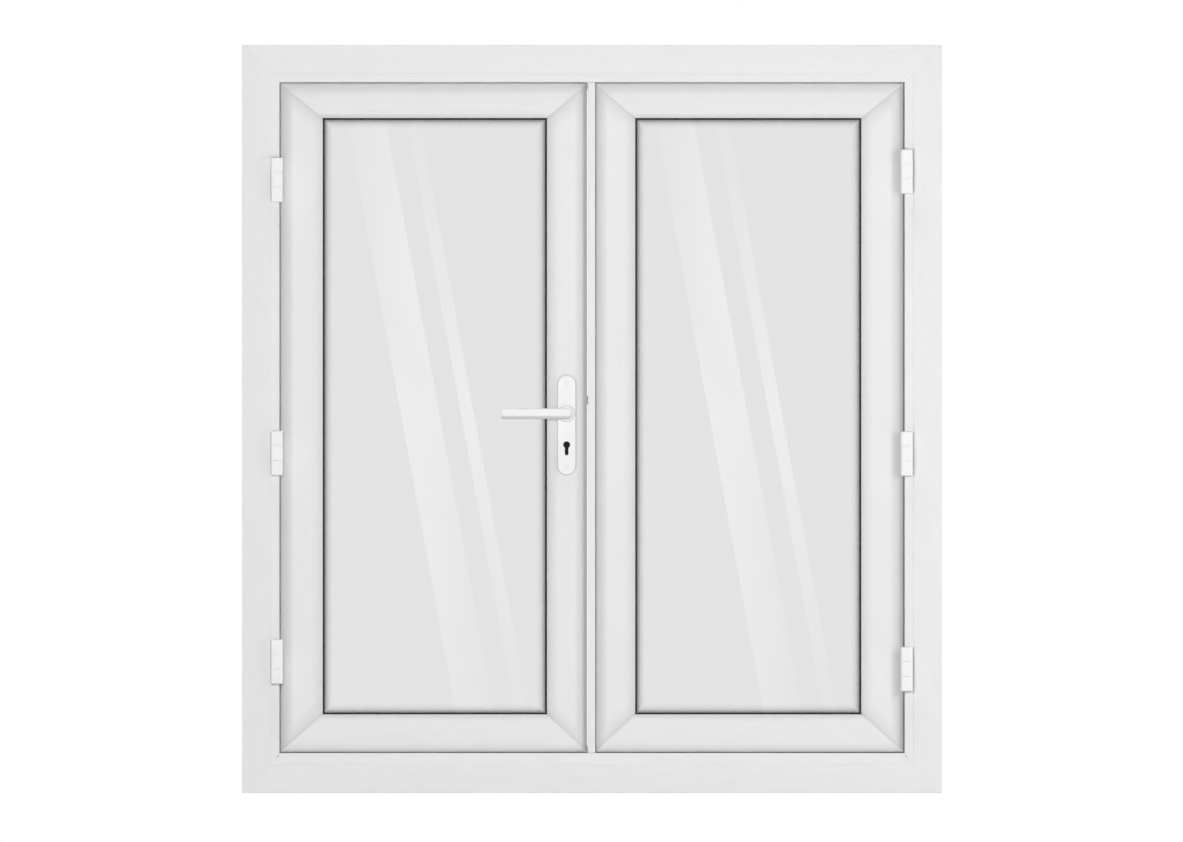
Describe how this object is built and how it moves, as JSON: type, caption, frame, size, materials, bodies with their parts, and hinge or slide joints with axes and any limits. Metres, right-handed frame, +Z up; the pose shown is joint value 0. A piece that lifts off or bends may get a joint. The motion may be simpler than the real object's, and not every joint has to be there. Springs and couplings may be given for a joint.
{
  "type": "french doors",
  "caption": "Pair of outward-opening glazed white plastic french doors in their outer frame, with lever handles, a key lock, a slim mullion and slide bolts.",
  "frame": {"origin": "middle of the sill's underside, at mid-depth of the frame", "axes": "+X to the right seen from outside, +Y into the house, +Z up; the outside face looks towards -Y"},
  "size_m": [1.96, 0.176, 2.094],
  "materials": {
    "white_pvc": "satin white extruded PVC-U",
    "galvanised_steel": "galvanised roll-formed steel",
    "rubber_seal": "matt black extruded EPDM",
    "glass": "clear float glass",
    "spacer_bar": "mill-finish spacer bar",
    "hinge_coating": "white powder-coated zinc",
    "handle_coating": "white powder-coated zinc",
    "zinc_plated_steel": "bright zinc-plated steel",
    "key_cylinder": "dark oxidised brass",
    "packer_plastic": "moulded nylon"
  },
  "bodies": {
    "frame": {"frame_head": "white_pvc", "frame_jamb_left": "white_pvc", "frame_jamb_right": "white_pvc", "frame_seal": "rubber_seal", "frame_sill": "white_pvc", "frame_steel": "galvanised_steel", "hinge_pins": "zinc_plated_steel", "left_bottom_hinge_frame_leaf": "hinge_coating", "left_middle_hinge_frame_leaf": "hinge_coating", "left_top_hinge_frame_leaf": "hinge_coating", "right_bottom_hinge_frame_leaf": "hinge_coating", "right_middle_hinge_frame_leaf": "hinge_coating", "right_top_hinge_frame_leaf": "hinge_coating", "slide_bolt_keeps": "zinc_plated_steel"},
    "left_door": {"handle_screws": "handle_coating", "inner_handle_plate": "handle_coating", "left_beads": "white_pvc", "left_bottom_hinge_door_leaf": "hinge_coating", "left_bottom_rail": "white_pvc", "left_door_steel": "galvanised_steel", "left_glazing_seals": "rubber_seal", "left_hinge_stile": "white_pvc", "left_lock_stile": "white_pvc", "left_middle_hinge_door_leaf": "hinge_coating", "left_packers": "packer_plastic", "left_panes": "glass", "left_spacer": "spacer_bar", "left_top_hinge_door_leaf": "hinge_coating", "left_top_rail": "white_pvc", "lock_case": "zinc_plated_steel", "lock_cylinder": "key_cylinder", "lock_faceplate": "zinc_plated_steel", "outer_handle_plate": "handle_coating"},
    "right_door": {"lock_keep": "zinc_plated_steel", "mullion": "white_pvc", "mullion_caps": "packer_plastic", "mullion_seal": "rubber_seal", "right_beads": "white_pvc", "right_bottom_hinge_door_leaf": "hinge_coating", "right_bottom_rail": "white_pvc", "right_door_steel": "galvanised_steel", "right_glazing_seals": "rubber_seal", "right_hinge_stile": "white_pvc", "right_lock_stile": "white_pvc", "right_middle_hinge_door_leaf": "hinge_coating", "right_packers": "packer_plastic", "right_panes": "glass", "right_spacer": "spacer_bar", "right_top_hinge_door_leaf": "hinge_coating", "right_top_rail": "white_pvc"},
    "handle": {"inner_handle": "handle_coating", "lock_follower": "zinc_plated_steel", "outer_handle": "handle_coating", "spindle": "zinc_plated_steel"},
    "latch": {"latch_bolt": "zinc_plated_steel"},
    "key": {"key_plug": "key_cylinder"},
    "dead_bolt": {"dead_bolt": "zinc_plated_steel"},
    "top_bolt": {"top_slide_bolt": "zinc_plated_steel"},
    "bottom_bolt": {"bottom_slide_bolt": "zinc_plated_steel"}
  },
  "joints": [
    {"name": "left_door_hinge", "type": "hinge", "parent": "frame", "child": "left_door", "pos_m": [-0.882, -0.0605, 1.05], "axis": [0, 0, -1], "range_deg": [0, 100]},
    {"name": "right_door_hinge", "type": "hinge", "parent": "frame", "child": "right_door", "pos_m": [0.882, -0.0605, 1.05], "axis": [0, 0, 1], "range_deg": [0, 100]},
    {"name": "handle_turn", "type": "hinge", "parent": "left_door", "child": "handle", "pos_m": [-0.071, 0, 1.062], "axis": [0, -1, 0], "range_deg": [0, 35], "stiffness_Nm_per_rad": 1.2, "springref_deg": -34.38},
    {"name": "latch_slide", "type": "slide", "parent": "left_door", "child": "latch", "axis": [-1, 0, 0], "range_m": [0, 0.011]},
    {"name": "key_turn", "type": "hinge", "parent": "left_door", "child": "key", "pos_m": [-0.071, 0, 0.975], "axis": [0, 1, 0], "range_deg": [0, 360]},
    {"name": "dead_bolt_slide", "type": "slide", "parent": "left_door", "child": "dead_bolt", "axis": [1, 0, 0], "range_m": [0, 0.016]},
    {"name": "top_bolt_slide", "type": "slide", "parent": "right_door", "child": "top_bolt", "axis": [0, 0, 1], "range_m": [0, 0.018]},
    {"name": "bottom_bolt_slide", "type": "slide", "parent": "right_door", "child": "bottom_bolt", "axis": [0, 0, -1], "range_m": [0, 0.018]}
  ],
  "couplings": [
    {"joint": "latch_slide", "follows": "handle_turn", "m_per_rad": 0.018},
    {"joint": "dead_bolt_slide", "follows": "key_turn", "m_per_rad": 0.002546}
  ]
}
